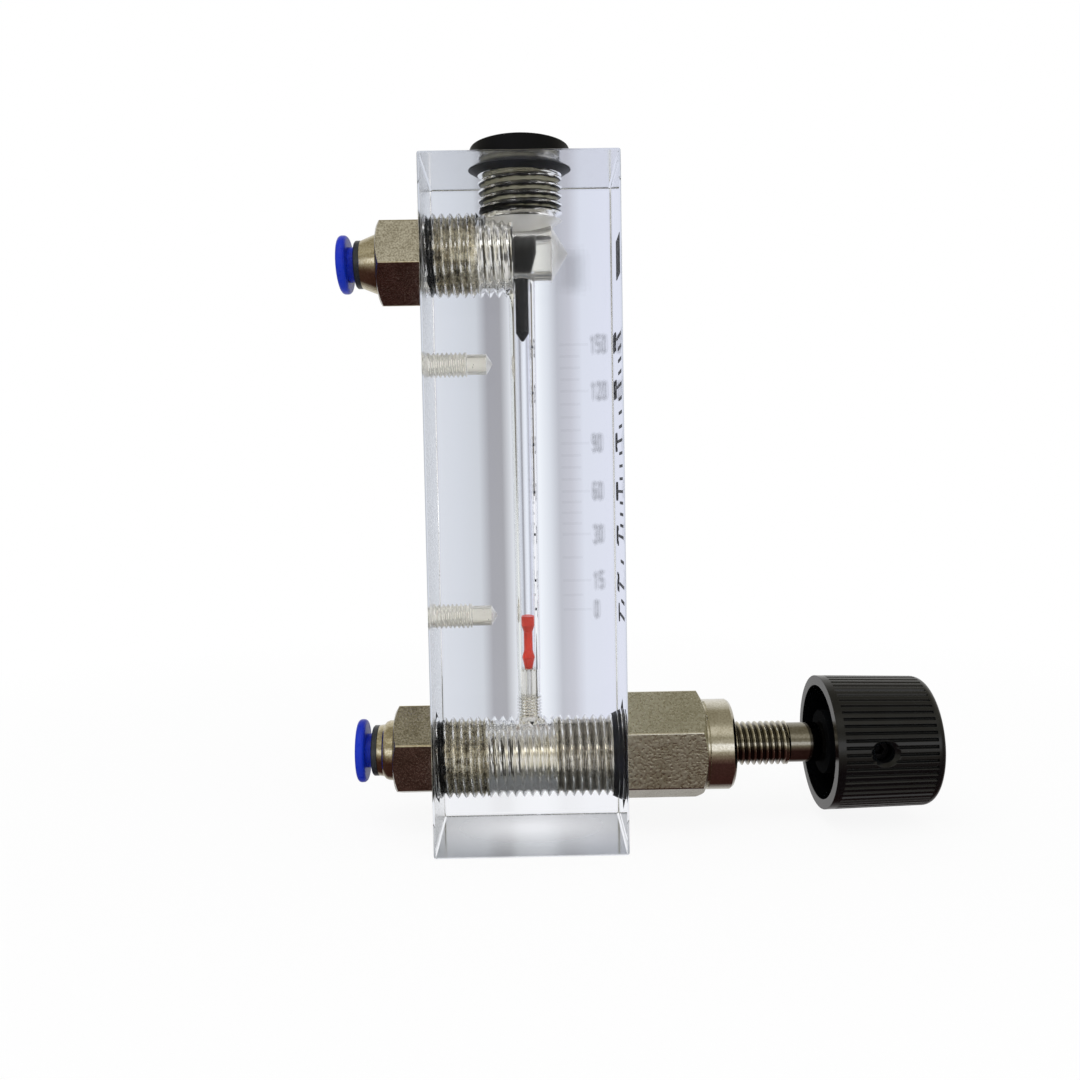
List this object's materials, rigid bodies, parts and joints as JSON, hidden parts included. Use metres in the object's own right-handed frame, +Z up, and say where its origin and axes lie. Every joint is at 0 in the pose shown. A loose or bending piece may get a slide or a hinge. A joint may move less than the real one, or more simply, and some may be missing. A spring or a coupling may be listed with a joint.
{
  "type": "acrylic tube rotameter",
  "caption": "Clear acrylic block flow meter: a red float rides in a tapered bore beside a printed scale, with a front needle valve and push-in tube fittings at the back.",
  "frame": {"origin": "centre of the block's flat bottom face", "axes": "+Z up along the metering bore; +X to the front, towards the scale and the valve knob"},
  "size_m": [0.0951, 0.03, 0.111],
  "materials": {
    "clear_acrylic": "polished, clear",
    "scale_print": "screen print",
    "black_plug_plastic": "moulded, slightly glossy",
    "black_rubber": "moulded",
    "red_float_plastic": "turned",
    "nickel_plated_brass": "nickel plated, fine grained flats",
    "black_guide_plastic": "moulded",
    "blue_sleeve_plastic": "moulded",
    "spring_steel": "stamped",
    "black_knob_plastic": "moulded, satin",
    "black_oxide_steel": "black oxide"
  },
  "bodies": {
    "housing": {"acrylic_block": "clear_acrylic", "scale_ticks": "scale_print", "scale_numerals": "scale_print", "scale_header_bar": "scale_print", "top_plug": "black_plug_plastic", "top_plug_o_ring": "black_rubber", "float_seat": "clear_acrylic", "valve_body": "nickel_plated_brass", "valve_body_o_ring": "black_rubber", "valve_seat": "black_rubber", "outlet_fitting_body": "nickel_plated_brass", "outlet_collet_guide": "black_guide_plastic", "outlet_grab_ring": "spring_steel", "outlet_tube_seal": "black_rubber", "inlet_fitting_body": "nickel_plated_brass", "inlet_collet_guide": "black_guide_plastic", "inlet_grab_ring": "spring_steel", "inlet_tube_seal": "black_rubber"},
    "float": {"metering_float": "red_float_plastic"},
    "stem_seal_carrier": {"stem_o_ring": "black_rubber"},
    "stem_and_knob": {"valve_stem": "nickel_plated_brass", "knob": "black_knob_plastic", "knob_grub_screw": "black_oxide_steel"},
    "outlet_sleeve": {"outlet_release_sleeve": "blue_sleeve_plastic"},
    "inlet_sleeve": {"inlet_release_sleeve": "blue_sleeve_plastic"}
  },
  "joints": [
    {"name": "float_slide", "type": "slide", "parent": "housing", "child": "float", "axis": [0, 0, 1], "range_m": [0, 0.0436]},
    {"name": "valve_travel", "type": "slide", "parent": "housing", "child": "stem_seal_carrier", "axis": [1, 0, 0], "range_m": [-0.0055, 0.001]},
    {"name": "valve_turn", "type": "hinge", "parent": "stem_seal_carrier", "child": "stem_and_knob", "pos_m": [0.04, 0, 0.013], "axis": [1, 0, 0], "range_deg": [-1980, 360]},
    {"name": "outlet_sleeve_press", "type": "slide", "parent": "housing", "child": "outlet_sleeve", "axis": [1, 0, 0], "range_m": [0, 0.0008], "stiffness_N_per_m": 2000},
    {"name": "inlet_sleeve_press", "type": "slide", "parent": "housing", "child": "inlet_sleeve", "axis": [1, 0, 0], "range_m": [0, 0.0008], "stiffness_N_per_m": 2000}
  ],
  "couplings": [
    {"joint": "valve_travel", "follows": "valve_turn", "m_per_rad": 0.00015915}
  ]
}
